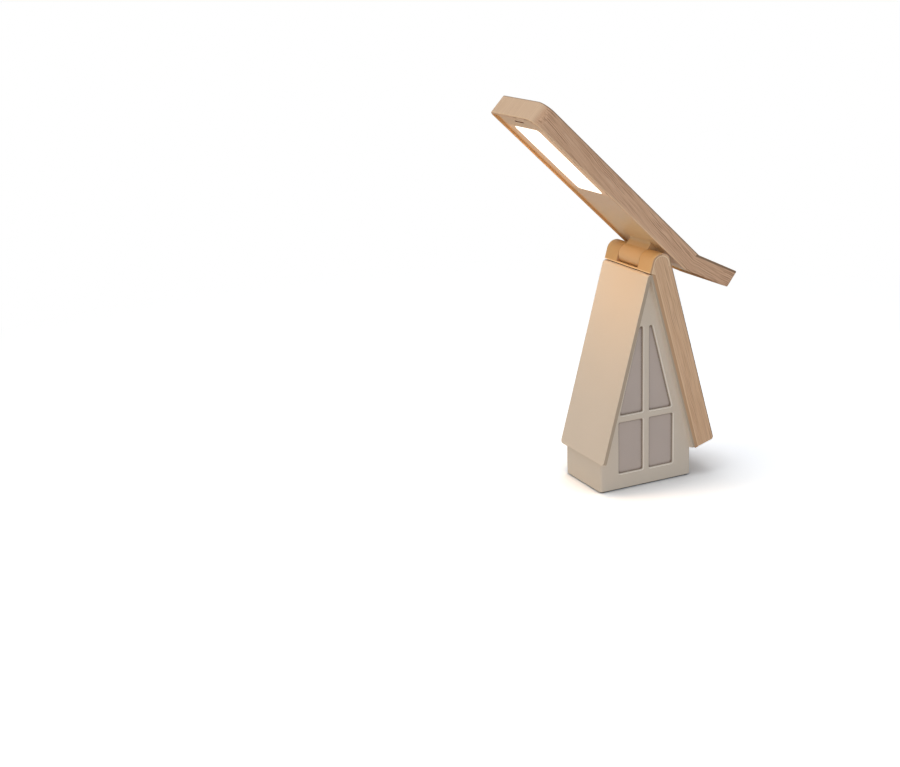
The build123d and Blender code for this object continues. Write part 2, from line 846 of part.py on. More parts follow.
# Friction washers between the knuckle and the ears
washer_y = knuckle_width / 2 + (knuckle_clearance - washer_thickness) / 2
with BuildPart() as friction_washers:
    for side in (-1, 1):
        with BuildSketch(Plane.XZ.offset(side * washer_y)):
            with Locations((pivot_x, pivot_z)):
                Circle(washer_diameter / 2)
                Circle(pin_diameter / 2 + running_fit, mode=Mode.SUBTRACT)
        extrude(amount=side * washer_thickness)
save(friction_washers.part, "friction_washers")

# Disc springs in the ends of the knuckle
spring_y = knuckle_width / 2 - spring_recess + (spring_recess - spring_height) / 2
spring_inner = pin_diameter / 2 + spring_clearance
hinge_axis = Axis((pivot_x, 0, pivot_z), (0, 1, 0))
with BuildPart() as disc_springs:
    for side in (-1, 1):
        with BuildSketch(Plane(origin=(pivot_x, 0, pivot_z), x_dir=(1, 0, 0), z_dir=(0, 0, 1))):
            with BuildLine():
                Polyline(
                    (spring_inner, side * (spring_y + spring_height - spring_thickness)),
                    (spring_inner, side * (spring_y + spring_height)),
                    (spring_diameter / 2, side * (spring_y + spring_thickness)),
                    (spring_diameter / 2, side * spring_y),
                    close=True,
                )
            make_face()
        revolve(axis=hinge_axis)
save(disc_springs.part, "disc_springs")

# Bearing bush in the knuckle
bush_half = knuckle_width / 2 - spring_recess
with BuildPart() as knuckle_bush:
    with BuildSketch(Plane.XZ):
        with Locations((pivot_x, pivot_z)):
            Circle(bush_diameter / 2)
            Circle(pin_diameter / 2 + running_fit, mode=Mode.SUBTRACT)
    extrude(amount=bush_half, both=True)
save(knuckle_bush.part, "knuckle_bush")


def tip_corners(inset):
    # Corner radii of a block that is set in from the arm's outline: front and rear of the tip
    return [radius - inset for radius in tip_corner_radii]


def arm_block(lower, upper, side_inset, corner_radii, bend_radii, edge=0):
    # A block that follows the arm's bend, with its plan corners and bends rounded
    with BuildPart() as block:
        with BuildSketch(arm_plane(0)) as side_view:
            with BuildLine():
                Polyline(*lower, *upper, close=True)
            make_face()
            for bend, radius in zip((lower[1], upper[1]), bend_radii):
                fillet(side_view.vertices().sort_by_distance(bend)[0], radius)
        extrude(amount=half_roof - side_inset, both=True)
        reach = Axis(arm_plane(0).origin, arm_plane(0).x_dir)
        end = block.faces().sort_by(reach)[0]
        fillet(end.edges().filter_by(Axis.Y, reverse=True), corner_radii[2])
        for row, radius in ((0, corner_radii[0]), (-1, corner_radii[1])):
            tip = block.faces().sort_by(reach)[-1]
            fillet(tip.edges().filter_by(Axis.Y, reverse=True).sort_by(Axis.Y)[row], radius)
        if edge:
            fillet(block.edges().sort_by(SortBy.LENGTH)[-4:], edge)
    return block.part


# Arm shell: wood-look channel with an open underside
arm_blank = arm_block(
    under_line(0, 0),
    top_line(0, 0),
    0,
    (*tip_corners(0), leg_corner_radius),
    (kink_radius, kink_top_radius),
    arm_edge_radius,
)
arm_recess = arm_block(
    under_line(-arm_rim, arm_rim),
    under_line(plate_top, arm_rim)[::-1],
    arm_rim,
    (*tip_corners(arm_rim), leg_corner_radius - arm_rim),
    (kink_radius + arm_rim, kink_radius - plate_top),
)
hollow_edge = plate_edge + plate_ledge
arm_hollow = arm_block(
    under_line(plate_recess, hollow_edge),
    top_line(arm_skin, hollow_edge),
    hollow_edge,
    (*tip_corners(hollow_edge), hollow_corner_radius),
    (kink_radius - plate_recess, kink_top_radius + arm_skin),
)
with BuildPart() as arm_shell:
    add(arm_blank)
    add(arm_recess, mode=Mode.SUBTRACT)
    add(arm_hollow, mode=Mode.SUBTRACT)
save(arm_shell.part, "arm_shell")

# Arm underside plate with the hinge knuckle
plate_blank = arm_block(
    under_line(plate_recess, plate_edge),
    under_line(plate_top, plate_edge)[::-1],
    plate_edge,
    (*tip_corners(plate_edge), leg_corner_radius - plate_edge),
    (kink_radius - plate_recess, kink_radius - plate_top),
)
plate_level = rim_level + plate_recess
with BuildPart() as arm_underplate:
    add(plate_blank)
    with BuildSketch(arm_plane(0)) as knuckle_outline:
        Circle(head_radius)
        with Locations((0, (plate_level + plate_thickness) / 2)):
            Rectangle(knuckle_web, plate_level + plate_thickness)
        with Locations((0, plate_level + plate_thickness / 2)):
            Rectangle(knuckle_web + 4 * knuckle_fillet, plate_thickness)
        web_corners = knuckle_outline.vertices().filter_by(
            lambda p: abs(p.Y - plate_level) < seam and abs(p.X) < knuckle_web / 2 + seam
        )
        fillet(web_corners, knuckle_fillet)
    extrude(amount=knuckle_width / 2, both=True)
    with BuildSketch(arm_plane(0)):
        Circle(bush_diameter / 2 + pin_seat_gap)
    extrude(amount=knuckle_width / 2, both=True, mode=Mode.SUBTRACT)
    for side in (-1, 1):
        with BuildSketch(arm_plane(side * knuckle_width / 2)):
            Circle(spring_diameter / 2 + spring_clearance)
        extrude(amount=-side * spring_recess, mode=Mode.SUBTRACT)
    with BuildSketch(arm_face(plate_level)):
        with Locations(((lens_start + lens_end) / 2, 0)):
            RectangleRounded(
                lens_end - lens_start + 2 * lens_gap,
                lens_width + 2 * lens_gap,
                lens_radius + lens_gap,
            )
        with Locations((slot_position, 0)):
            Rectangle(slot_width, slot_length)
    extrude(amount=plate_thickness, mode=Mode.SUBTRACT)
save(arm_underplate.part, "arm_underplate")

# Light lens, flush with the underside plate and held by its flange
plate_back = plate_level + plate_thickness
with BuildPart() as arm_lens:
    with BuildSketch(arm_face(plate_level)):
        with Locations(((lens_start + lens_end) / 2, 0)):
            RectangleRounded(lens_end - lens_start, lens_width, lens_radius)
    extrude(amount=plate_thickness)
    with BuildSketch(arm_face(plate_back)):
        with Locations(((lens_start + lens_end) / 2, 0)):
            RectangleRounded(
                lens_end - lens_start + 2 * lens_flange,
                lens_width + 2 * lens_flange,
                lens_radius + lens_flange,
            )
    extrude(amount=lens_flange_thickness)
save(arm_lens.part, "arm_lens")

# Dark window behind the slot
with BuildPart() as sensor_window:
    with BuildSketch(arm_face(plate_back)):
        with Locations((slot_position, 0)):
            Rectangle(slot_width + 2 * window_margin, slot_length + 2 * window_margin)
    extrude(amount=window_thickness)
save(sensor_window.part, "sensor_window")

# Light board under the arm's top skin
ceiling = rim_level + arm_thickness - arm_skin
with BuildPart() as led_board:
    with BuildSketch(arm_face(ceiling)):
        with Locations(((lens_start + lens_end) / 2, 0)):
            Rectangle(*led_board_size)
    extrude(amount=-board_thickness)
save(led_board.part, "led_board")

with BuildPart() as arm_leds:
    with BuildSketch(arm_face(ceiling - board_thickness)):
        with Locations(((lens_start + lens_end) / 2, 0)):
            with GridLocations(*led_spacing, *led_count):
                Rectangle(*led_size)
    extrude(amount=-led_height)
save(arm_leds.part, "arm_leds")
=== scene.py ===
import json
import math

import bpy
from mathutils import Matrix, Vector


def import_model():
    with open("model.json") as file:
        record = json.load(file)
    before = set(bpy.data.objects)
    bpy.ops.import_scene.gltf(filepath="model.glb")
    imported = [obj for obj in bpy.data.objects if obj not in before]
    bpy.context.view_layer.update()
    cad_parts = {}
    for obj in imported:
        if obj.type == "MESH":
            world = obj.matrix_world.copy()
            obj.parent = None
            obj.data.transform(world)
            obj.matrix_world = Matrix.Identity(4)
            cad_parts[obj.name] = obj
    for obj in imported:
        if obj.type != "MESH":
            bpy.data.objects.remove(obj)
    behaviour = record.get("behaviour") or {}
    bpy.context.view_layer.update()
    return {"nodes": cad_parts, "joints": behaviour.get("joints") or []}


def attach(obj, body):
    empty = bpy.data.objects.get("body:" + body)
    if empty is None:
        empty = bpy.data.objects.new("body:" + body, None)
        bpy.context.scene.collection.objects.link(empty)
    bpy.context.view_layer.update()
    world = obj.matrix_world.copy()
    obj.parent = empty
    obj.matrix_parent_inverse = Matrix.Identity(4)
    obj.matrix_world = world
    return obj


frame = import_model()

# The hinge's place comes from the frame. The other sizes repeat those of the solids, in metres.
# They only place tones and the lens's light: no mesh is moved or changed.
hinge = next(j for j in frame["joints"] if j["name"] == "arm_hinge")
PIVOT = Vector(hinge["pos_m"])
ARM_ELEVATION = math.radians(43.04)
LEG_ANGLE = math.radians(18.1)
ROOF_PITCH = math.radians(74.25)

# Directions: along each straight stretch, and out of its face
ACROSS = Vector((0, 1, 0))
RIGHT = Vector((1, 0, 0))
HIGH = Vector((0, 0, 1))
ARM_AXIS = Vector((-math.cos(ARM_ELEVATION), 0, math.sin(ARM_ELEVATION)))
ARM_UP = Vector((math.sin(ARM_ELEVATION), 0, math.cos(ARM_ELEVATION)))
SLAB_AXIS = Vector((math.cos(ROOF_PITCH), 0, -math.sin(ROOF_PITCH)))
SLAB_UP = Vector((math.sin(ROOF_PITCH), 0, math.cos(ROOF_PITCH)))
LEFT_AXIS = Vector((-math.cos(ROOF_PITCH), 0, -math.sin(ROOF_PITCH)))
LEFT_UP = Vector((-math.sin(ROOF_PITCH), 0, math.cos(ROOF_PITCH)))
LEG_AXIS = ARM_AXIS * math.cos(LEG_ANGLE) - ARM_UP * math.sin(LEG_ANGLE)
LEG_UP = ARM_UP * math.cos(LEG_ANGLE) + ARM_AXIS * math.sin(LEG_ANGLE)

# Arm, slab and gable
ARM_KINK = PIVOT - ARM_AXIS * 0.0195 + ARM_UP * 0.017
WOOD_UNDER = -0.0076
ARM_TOP = 0.0078
LEG_TOP = 0.0058
SLAB_UNDER = -0.00705
SLAB_TOP = 0.0082
HEAD_RADIUS = 0.0066
GABLE_FRONT = 0.02625
ROOF_FRONT = 0.0325

# Lens and sensor slot
LENS_LENGTH = 0.0696
LENS_WIDTH = 0.0354
LENS_CENTRE = PIVOT + ARM_AXIS * 0.0998 + ARM_UP * 0.0110
SLOT_CENTRE = PIVOT + ARM_AXIS * 0.1413
SLOT_HALF_WIDTH = 0.0008
SLOT_HALF_LENGTH = 0.0070

# Grain of the wood look
FINE_STRETCH = 0.03
WANDER_STRETCH = 0.04
PORE_STRETCH = 0.1
BUNDLE_STRETCH = 0.12
SWAY = 0.0025
RIPPLE_RATE = 4700.0
RIPPLE_WANDER = 14.0
GRAIN_DARK = (132, 86, 60)

# Studio
FLOOR_SIZE = 12
CONTACT_REACH = 0.05
WORLD_LIGHT = 0.38
WORLD_SEEN = 1.0
LENS_POWER = 0.165
LENS_COLOUR = (1.0, 0.50, 0.14)
LENS_LIGHT_GAP = 0.0008
# Name, place, aim, size, power in watts, colour
AREA_LIGHTS = (
    ("key", (-0.25, 0.17, 1.35), (0, 0, 0.1), 1.25, 6.7, (1, 1, 1)),
    ("left", (-1.3, 0.1, 0.55), (0, 0, 0.12), 0.8, 1.7, (1.0, 0.76, 0.36)),
    ("front", (-0.15, -1.5, 0.4), (0, 0, 0.12), 0.9, 2.8, (1, 1, 1)),
)

# The photograph's camera
CAMERA_PLACE = (-0.5307, -0.8746, 0.3827)
CAMERA_FORWARD = (0.50147, 0.81512, -0.29004)
CAMERA_LENS = 56.44
CAMERA_SHIFT = -0.207


def srgb(r, g, b):
    """A colour given in 0 to 255 screen values, as the linear values that shaders take."""
    def linear(v):
        v /= 255
        return v / 12.92 if v <= 0.04045 else ((v + 0.055) / 1.055) ** 2.4
    return (linear(r), linear(g), linear(b), 1.0)


def toned(colour, factor):
    """A colour made darker or lighter by a factor."""
    return tuple(min(1, c * factor) for c in colour[:3]) + (1.0,)


class Paint:
    """A material and short calls that add nodes to it."""

    def __init__(self, name):
        self.material = bpy.data.materials.new(name)
        self.material.use_nodes = True
        self.tree = self.material.node_tree
        self.tree.nodes.clear()
        self.out = self.add("ShaderNodeOutputMaterial")
        self.shader = self.add("ShaderNodeBsdfPrincipled")
        self.link(self.shader.outputs["BSDF"], self.out.inputs["Surface"])
        coords = self.add("ShaderNodeTexCoord")
        self.place = coords.outputs["Object"]
        self.normal = coords.outputs["Normal"]

    def add(self, kind, **settings):
        node = self.tree.nodes.new(kind)
        for name, value in settings.items():
            setattr(node, name, value)
        return node

    def link(self, source, target):
        self.tree.links.new(source, target)

    def feed(self, socket, value):
        if isinstance(value, bpy.types.NodeSocket):
            self.link(value, socket)
        else:
            socket.default_value = value

    def math(self, operation, a, b=0.0):
        node = self.add("ShaderNodeMath", operation=operation)
        self.feed(node.inputs[0], a)
        self.feed(node.inputs[1], b)
        return node.outputs[0]

    def times(self, first, *others):
        for other in others:
            first = self.math("MULTIPLY", first, other)
        return first

    def dot(self, vector, axis):
        node = self.add("ShaderNodeVectorMath", operation="DOT_PRODUCT")
        self.feed(node.inputs[0], vector)
        node.inputs[1].default_value = axis
        return node.outputs["Value"]

    def minus(self, vector, point):
        node = self.add("ShaderNodeVectorMath", operation="SUBTRACT")
        self.feed(node.inputs[0], vector)
        node.inputs[1].default_value = point
        return node.outputs["Vector"]

    def length(self, vector):
        node = self.add("ShaderNodeVectorMath", operation="LENGTH")
        self.feed(node.inputs[0], vector)
        return node.outputs["Value"]

    def combine(self, x, y, z):
        node = self.add("ShaderNodeCombineXYZ")
        for socket, value in zip(node.inputs, (x, y, z)):
            self.feed(socket, value)
        return node.outputs["Vector"]

    def noise(self, vector, scale, detail=2.0, roughness=0.5):
        node = self.add("ShaderNodeTexNoise")
        self.feed(node.inputs["Vector"], vector)
        node.inputs["Scale"].default_value = scale
        node.inputs["Detail"].default_value = detail
        node.inputs["Roughness"].default_value = roughness
        return node.outputs["Fac"]

    def ramp(self, factor, stops):
        node = self.add("ShaderNodeValToRGB")
        self.feed(node.inputs["Fac"], factor)
        elements = node.color_ramp.elements
        while len(elements) < len(stops):
            elements.new(1.0)
        for element, (position, colour) in zip(elements, stops):
            element.position = position
            element.color = colour
        return node.outputs["Color"]

    def spread(self, factor, low, high, to_low=0.0, to_high=1.0, smooth=False):
        node = self.add("ShaderNodeMapRange", clamp=True)
        if smooth:
            node.interpolation_type = "SMOOTHSTEP"
        self.feed(node.inputs["Value"], factor)
        node.inputs["From Min"].default_value = low
        node.inputs["From Max"].default_value = high
        node.inputs["To Min"].default_value = to_low
        node.inputs["To Max"].default_value = to_high
        return node.outputs["Result"]

    def mix(self, factor, a, b, kind="RGBA", blend="MIX"):
        node = self.add("ShaderNodeMix", data_type=kind, blend_type=blend)
        self.feed(node.inputs["Factor"], factor)
        self.feed(node.inputs["A"], a)
        self.feed(node.inputs["B"], b)
        return node.outputs["Result"]

    def mix_shader(self, factor, a, b):
        node = self.add("ShaderNodeMixShader")
        for socket, value in zip(node.inputs, (factor, a, b)):
            self.feed(socket, value)
        return node.outputs["Shader"]

    def openness(self, reach):
        """1 on open surfaces, less where something is nearer than the reach."""
        node = self.add("ShaderNodeAmbientOcclusion", samples=8)
        node.inputs["Distance"].default_value = reach
        return node.outputs["AO"]

    def gap(self, reach):
        """1 deep in a gap narrower than the reach, 0 on open surfaces."""
        return self.spread(self.openness(reach), 0.45, 0.1, smooth=True)

    def bump(self, height, strength, distance):
        node = self.add("ShaderNodeBump")
        node.inputs["Strength"].default_value = strength
        node.inputs["Distance"].default_value = distance
        self.feed(node.inputs["Height"], height)
        return node.outputs["Normal"]

    def tint(self, mask, colour):
        """Covers the base colour so far with another colour where the mask is 1."""
        socket = self.shader.inputs["Base Color"]
        self.link(self.mix(mask, socket.links[0].from_socket, colour), socket)

    def beyond(self, point, axis, half):
        """How far along an axis a place lies beyond a half length from a point."""
        away = self.math("ABSOLUTE", self.dot(self.minus(self.place, point), axis))
        return self.math("SUBTRACT", away, half)

    def finish(self, colour, roughness, normal=None, **fixed):
        self.feed(self.shader.inputs["Base Color"], colour)
        self.feed(self.shader.inputs["Roughness"], roughness)
        if normal is not None:
            self.link(normal, self.shader.inputs["Normal"])
        for name, value in fixed.items():
            self.shader.inputs[name.replace("_", " ")].default_value = value
        return self.material


# Materials

def plastic(name, colour, grain=1.0):
    """Moulded plastic: fine spark-eroded texture, faint clouds, and painted shade, dark and matt,
    in narrow gaps.
    """
    paint = Paint(name)
    clouds = paint.noise(paint.place, 16)
    base = paint.ramp(clouds, [(0.35, toned(colour, 0.985)), (0.65, toned(colour, 1.015))])
    fine = paint.noise(paint.place, 2600, 2, 0.6)
    speck = paint.spread(fine, 0.35, 0.65, 0.985, 1.015)
    base = paint.mix(1.0, base, paint.combine(speck, speck, speck), blend="MULTIPLY")
    # Painted shade: darker and without gloss deep in narrow gaps, where ambient occlusion finds
    # them.
    gap = paint.gap(0.0015)
    base = paint.mix(gap, base, srgb(78, 46, 24))
    specular = paint.spread(gap, 0.0, 0.6, 0.4, 0.0)
    paint.link(specular, paint.shader.inputs["Specular IOR Level"])
    coarse = paint.noise(paint.place, 700, 3, 0.6)
    height = paint.math("ADD", fine, paint.times(coarse, 0.6))
    roughness = paint.spread(coarse, 0.3, 0.7, 0.38, 0.48)
    paint.finish(base, roughness, paint.bump(height, 0.12 * grain, 0.0002))
    return paint


def wood_place(paint, length_axis, up_axis, origin, low, high):
    """Places along and up one straight piece of wood, over its low face, under its high face."""
    local = paint.minus(paint.place, origin)
    up = paint.dot(local, up_axis)
    lift = paint.math("SUBTRACT", up, low)
    drop = paint.math("SUBTRACT", high, up)
    return paint.dot(local, length_axis), up, lift, drop


def head_ring(paint, along, up, radius):
    """1 in a thin line at the radius round the slab's head, and straight on down its left side."""
    local = paint.minus(paint.place, PIVOT)
    below = paint.math("GREATER_THAN", paint.dot(local, LEFT_AXIS), 0.0)
    reach = paint.length(paint.combine(along, up, 0.0))
    reach = paint.mix(below, reach, paint.dot(local, LEFT_UP), "FLOAT")
    ring_highlight = paint.spread(reach, radius - 0.0007, radius - 0.0003)
    return paint.times(ring_highlight, paint.spread(reach, radius + 0.0002, radius))


def wood(name, slant, lines, tones, straight, bent=None, head_radius=0):
    """Light wood-look skin: bundles of dark lines and fibres, pale fibres and short pores.

    slant is how far the grain runs off the length, lines how strong its dark lines are. straight
    is the axis along the grain, the axis out of the face, a point, and the lowest and highest
    place along the second axis. bent is the same for a second stretch beyond that point. Where a
    round head of the radius given meets the plastic, a thin light line is painted on as a
    highlight.
    """
    paint = Paint(name)
    measures = wood_place(paint, *straight)
    if bent:
        before = paint.math("LESS_THAN", measures[0], 0.0)
        measures = [
            paint.mix(before, one, other, "FLOAT")
            for one, other in zip(measures, wood_place(paint, *bent))
        ]
    along, up, lift, drop = measures
    across = paint.dot(paint.place, ACROSS)

    # Height among the layers of grain, which run off the length and sway
    sway = paint.noise(paint.combine(along, paint.times(across, 0.3), 0.0), 45, 3)
    sway = paint.times(paint.math("SUBTRACT", sway, 0.5), SWAY)
    level = paint.math("SUBTRACT", up, paint.math("ADD", paint.times(along, slant), sway))
    facing = paint.math("ABSOLUTE", paint.dot(paint.normal, straight[0]))
    on_end = paint.spread(facing, 0.55, 0.85, smooth=True)

    def place(stretch):
        side = paint.combine(paint.times(along, stretch), across, level)
        end = paint.combine(paint.times(up, stretch), across, along)
        return paint.mix(on_end, side, end, "VECTOR")

    fine_place = place(FINE_STRETCH)
    bundle_place = place(BUNDLE_STRETCH)
    fibre = paint.noise(fine_place, 1300)
    streak = paint.noise(fine_place, 1000)
    vein = paint.math("ABSOLUTE", paint.math("SUBTRACT", paint.noise(fine_place, 900, 1), 0.5))
    bundle = paint.noise(bundle_place, 130)
    wander = paint.noise(place(WANDER_STRETCH), 260)
    phase = paint.math(
        "ADD", paint.times(level, RIPPLE_RATE), paint.times(wander, RIPPLE_WANDER)
    )
    broken = paint.spread(paint.noise(bundle_place, 500, 1), 0.4, 0.58)
    ripple = paint.times(paint.spread(paint.math("SINE", phase), 0.1, 0.9), broken)
    pores = paint.noise(place(PORE_STRETCH), 1900, 1, 0.4)
    in_bundle = paint.times(
        paint.spread(bundle, 0.36, 0.6, 0.2, 1.0, smooth=True),
        paint.spread(on_end, 0.0, 1.0, lines, lines * 0.25),
    )
    pale = paint.spread(fibre, 0.45, 0.36, smooth=True)
    dark = paint.spread(fibre, 0.55, 0.64)

    # Edges of the side faces, and the walls inside the shell. The top is darker; a painted
    # highlight of the lamp's light runs along the bottom; the inner walls are plain plastic
    # without grain, their orange partly painted lamp light.
    facing_out = paint.math("ABSOLUTE", paint.dot(paint.normal, straight[1]))
    beside = paint.spread(facing_out, 0.97, 0.75, smooth=True)
    rim = paint.times(paint.spread(drop, 0.0012, 0.0004, smooth=True), beside)
    lip_highlight = paint.times(paint.spread(lift, 0.0014, 0.0004, smooth=True), beside)
    inner = paint.spread(paint.times(across, paint.dot(paint.normal, ACROSS)), -0.001, -0.01)

    layers = [
        (pale, 0.35, (244, 212, 184)),
        (paint.times(dark, in_bundle), 0.45, GRAIN_DARK),
        (paint.times(ripple, in_bundle), 0.9, GRAIN_DARK),
        (paint.times(paint.spread(vein, 0.03, 0.01), in_bundle), 0.3, GRAIN_DARK),
        (paint.spread(pores, 0.68, 0.76, smooth=True), 0.12, (140, 100, 74)),
        (on_end, 0.35, (222, 206, 180)),
        (rim, 0.85, (132, 106, 84)),
        # Painted lamp highlight along the bottom, and inner walls partly painted lamp light.
        (lip_highlight, 0.7, (246, 214, 178)),
        (inner, 0.85, (236, 188, 126)),
    ]
    # Painted highlight: a thin light line where the round head meets the plastic.
    if head_radius:
        ring_highlight = paint.times(head_ring(paint, along, up, head_radius), beside)
        layers.append((ring_highlight, 0.9, (255, 232, 200)))
    base = paint.ramp(streak, [(0.35, tones[0]), (0.66, tones[1])])
    for mask, strength, colour in layers:
        base = paint.mix(paint.times(mask, strength), base, srgb(*colour))
    height = paint.math("SUBTRACT", pale, dark)
    roughness = paint.spread(bundle, 0.3, 0.7, 0.52, 0.64)
    return paint.finish(base, roughness, paint.bump(height, 0.2, 0.0002), Specular_IOR_Level=0.35)


def house_plastic(name, colour):
    """Cream plastic of the house, lighter towards the top as painted lamp light. Painted shade
    lies on the cut front edges of the roof panels and in the seam at the ridge, painted highlights
    on the round edges of the window and on the concave fillet at the gable's right border."""
    paint = plastic(name, colour)
    height = paint.dot(paint.place, HIGH)
    front = paint.dot(paint.place, -ACROSS)
    facing = paint.dot(paint.normal, -ACROSS)
    # Painted lamp light: lighter towards the top, less on faces turned to the front.
    high = paint.spread(height, 0.06, 0.16)
    high = paint.times(high, paint.spread(facing, 0.4, 0.9, 0.8, 0.3))
    paint.tint(high, srgb(238, 225, 207))

    # Painted shade on the cut front edges of the roof panels.
    edge_shade = paint.spread(front, ROOF_FRONT - 0.001, ROOF_FRONT - 0.0005)
    edge_shade = paint.times(edge_shade, paint.spread(facing, 0.6, 0.9), 0.9)
    paint.tint(edge_shade, srgb(184, 167, 147))

    # Painted highlight on the round edges of the window where they lean left or up.
    leaning = paint.math("MAXIMUM", paint.dot(paint.normal, -RIGHT), paint.dot(paint.normal, HIGH))
    fillet_highlight = paint.times(paint.spread(leaning, 0.1, 0.35), paint.spread(facing, 0.02, 0.15))
    window = paint.times(
        paint.spread(paint.dot(paint.place, RIGHT), -0.0260, -0.0255),
        paint.spread(front, GABLE_FRONT - 0.00001, GABLE_FRONT - 0.00005),
        paint.spread(front, 0.02, 0.0205),
    )
    paint.tint(paint.times(fillet_highlight, window), srgb(255, 248, 238))

    # Painted light on the concave fillet at the gable's right border.
    cove_light = paint.times(
        paint.spread(front, GABLE_FRONT, GABLE_FRONT + 0.002),
        paint.spread(paint.dot(paint.place, RIGHT), -0.001, 0.001),
        paint.spread(front, ROOF_FRONT - 0.001, ROOF_FRONT - 0.0015),
        paint.spread(leaning, 0.2, 0.6),
    )
    paint.tint(cove_light, srgb(240, 228, 214))

    # Painted shade in the seam at the ridge.
    joint_shade = paint.spread(paint.dot(paint.normal, LEFT_AXIS), -0.7, -0.9)
    joint_shade = paint.times(joint_shade, paint.spread(height, 0.150, 0.151))
    paint.tint(joint_shade, srgb(140, 74, 30))
    return paint.material


def frosted(name, colour, corner_shade=None):
    """Frosted sheet with faint clouds, and painted shade where it meets its frame if a shade
    colour is given.
    """
    paint = Paint(name)
    clouds = paint.noise(paint.place, 22)
    fine = paint.noise(paint.place, 3200, 1)
    base = paint.ramp(clouds, [(0.3, toned(colour, 0.93)), (0.7, colour)])
    if corner_shade:
        # Painted shade where the sheet meets its frame.
        shade = paint.spread(paint.openness(0.0025), 0.95, 0.5, smooth=True)
        base = paint.mix(shade, base, corner_shade)
    roughness = paint.spread(fine, 0.3, 0.7, 0.5, 0.66)
    return paint.finish(base, roughness, paint.bump(fine, 0.1, 0.0001), Specular_IOR_Level=0.45)


def lit_lens(name):
    """Frosted cover with the light on."""
    paint = Paint(name)
    fine = paint.noise(paint.place, 2400, 1)
    glow = paint.mix(paint.spread(fine, 0.3, 0.7), (1, 0.95, 0.86, 1), (1, 0.97, 0.9, 1))
    paint.link(glow, paint.shader.inputs["Emission Color"])
    paint.shader.inputs["Emission Strength"].default_value = 1.5
    return paint.finish(srgb(250, 240, 220), paint.spread(fine, 0.3, 0.7, 0.45, 0.6))


def lit_plate(name, colour, hinge_bounce_colour):
    """Plastic of the arm's underside: a painted warm bounce of the lamp's light near the hinge,
    painted lamp light on the rear rim, a painted glow beside the lens and painted shade on the
    walls of the sensor slot."""
    paint = plastic(name, colour)
    along = paint.dot(paint.minus(paint.place, PIVOT), ARM_AXIS)
    # Painted warm bounce of the lamp's light near the hinge.
    paint.tint(paint.spread(along, 0.058, 0.022, smooth=True), hinge_bounce_colour)
    # Painted warm lamp light on the rear rim.
    rim = paint.spread(paint.dot(paint.place, ACROSS), 0.0267, 0.0272)
    paint.tint(paint.times(rim, paint.spread(along, 0.010, 0.015)), srgb(228, 172, 114))

    # Painted glow: emission on the plate round the lens, fading away from its ends and sides.
    ends = paint.beyond(LENS_CENTRE, ARM_AXIS, LENS_LENGTH / 2)
    ends = paint.spread(ends, 0.003, -0.002, smooth=True)
    sides = paint.beyond(LENS_CENTRE, ACROSS, LENS_WIDTH / 2)
    sides = paint.spread(sides, 0.016, 0.0, 0.4, 1.0)
    paint.shader.inputs["Emission Color"].default_value = (1.0, 0.5, 0.24, 1.0)
    paint.link(paint.times(ends, sides, 0.17), paint.shader.inputs["Emission Strength"])

    # Painted shade on the walls of the sensor slot.
    facing = paint.math("ABSOLUTE", paint.dot(paint.normal, ARM_UP))
    slot_shade = paint.times(
        paint.spread(paint.beyond(SLOT_CENTRE, ARM_AXIS, SLOT_HALF_WIDTH), 0.0, -0.0001),
        paint.spread(facing, 0.7, 0.5),
        paint.spread(paint.beyond(SLOT_CENTRE, ACROSS, SLOT_HALF_LENGTH), 0.0, -0.0001),
    )
    paint.tint(slot_shade, srgb(150, 72, 34))
    return paint.material


def slab_plastic(name, colour, far_shade_colour):
    """Plastic of the hinge housing: painted shade towards the rear, a painted highlight on its
    lower rounded border, painted shade in its inner gaps, and a browner lining under the wood-look
    skin."""
    paint = plastic(name, colour)
    across = paint.dot(paint.place, ACROSS)
    # Painted shade: darker towards the rear.
    paint.tint(paint.spread(across, -0.03, 0.03), far_shade_colour)
    local = paint.minus(paint.place, PIVOT)
    # Painted highlight on the housing's lower rounded border.
    lip_highlight = paint.spread(paint.dot(local, LEFT_AXIS), 0.0072, 0.0076)
    outer = paint.spread(paint.dot(paint.normal, LEFT_AXIS), 0.9, 0.6)
    paint.tint(paint.times(lip_highlight, outer), srgb(255, 222, 176))
    # Painted shade deep in the inner gaps.
    inner = paint.spread(paint.math("ABSOLUTE", across), 0.0303, 0.030)
    paint.tint(paint.times(paint.gap(0.002), inner), srgb(66, 34, 16))
    down = paint.spread(paint.dot(local, SLAB_AXIS), 0.011, 0.014)
    side = paint.math("ABSOLUTE", paint.dot(paint.normal, ACROSS))
    lining = paint.math("MAXIMUM", down, paint.spread(side, 0.6, 0.8))
    paint.tint(lining, srgb(204, 165, 130))
    return paint.material


def metal(name, colour, rough):
    """Plated or rolled steel with fine turning marks."""
    paint = Paint(name)
    marks = paint.noise(paint.place, 1800, 3, 0.7)
    clouds = paint.noise(paint.place, 140)
    base = paint.ramp(clouds, [(0.3, toned(colour, 0.8)), (0.7, colour)])
    roughness = paint.spread(marks, 0.3, 0.7, rough - 0.08, rough + 0.1)
    return paint.finish(base, roughness, paint.bump(marks, 0.1, 0.0001), Metallic=1.0)


def rubber(name, colour):
    """Soft matt material, slightly mottled."""
    paint = Paint(name)
    fine = paint.noise(paint.place, 1500, 3, 0.7)
    base = paint.ramp(fine, [(0.3, toned(colour, 0.6)), (0.7, colour)])
    return paint.finish(base, 0.85, paint.bump(fine, 0.3, 0.0003), Specular_IOR_Level=0.25)


